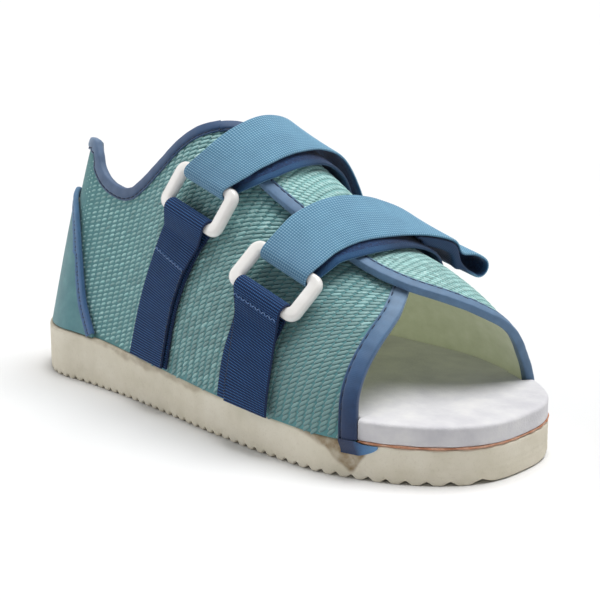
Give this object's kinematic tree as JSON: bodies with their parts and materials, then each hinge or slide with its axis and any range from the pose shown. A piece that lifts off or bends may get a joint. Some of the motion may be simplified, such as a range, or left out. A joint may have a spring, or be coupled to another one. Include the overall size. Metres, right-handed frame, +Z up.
{
  "type": "postoperative shoe",
  "caption": "Open-toed postoperative shoe with a thick ridged foam sole, a mesh upper of overlapping flaps, and hook-and-loop straps turned back through plastic rings.",
  "frame": {"origin": "on the floor under the middle of the sole's length and width, on a tread ridge", "axes": "+X to the toe, +Y to the wearer's left, +Z up"},
  "size_m": [0.29, 0.1356, 0.1409],
  "materials": {
    "outsole_foam": "matte cream foam",
    "adhesive": "matte copper-coloured bond line",
    "insole_foam": "matte white-grey foam",
    "mesh": "knobbly teal spacer mesh",
    "counter": "smooth teal cloth",
    "binding": "blue woven tape",
    "webbing": "navy ribbed webbing",
    "strap": "blue woven hook-and-loop strap",
    "ring": "white moulded plastic"
  },
  "bodies": {
    "root": {"outsole": "outsole_foam", "bond_layer": "adhesive", "insole": "insole_foam", "right_quarter": "mesh", "left_quarter": "mesh", "topline_binding": "binding", "left_flap_binding": "binding", "right_toe_binding": "binding", "heel_counter": "counter", "counter_binding": "binding", "rear_ring": "ring", "rear_webbing": "webbing", "rear_strap": "strap", "front_ring": "ring", "front_webbing": "webbing", "front_strap": "strap"}
  },
  "joints": []
}
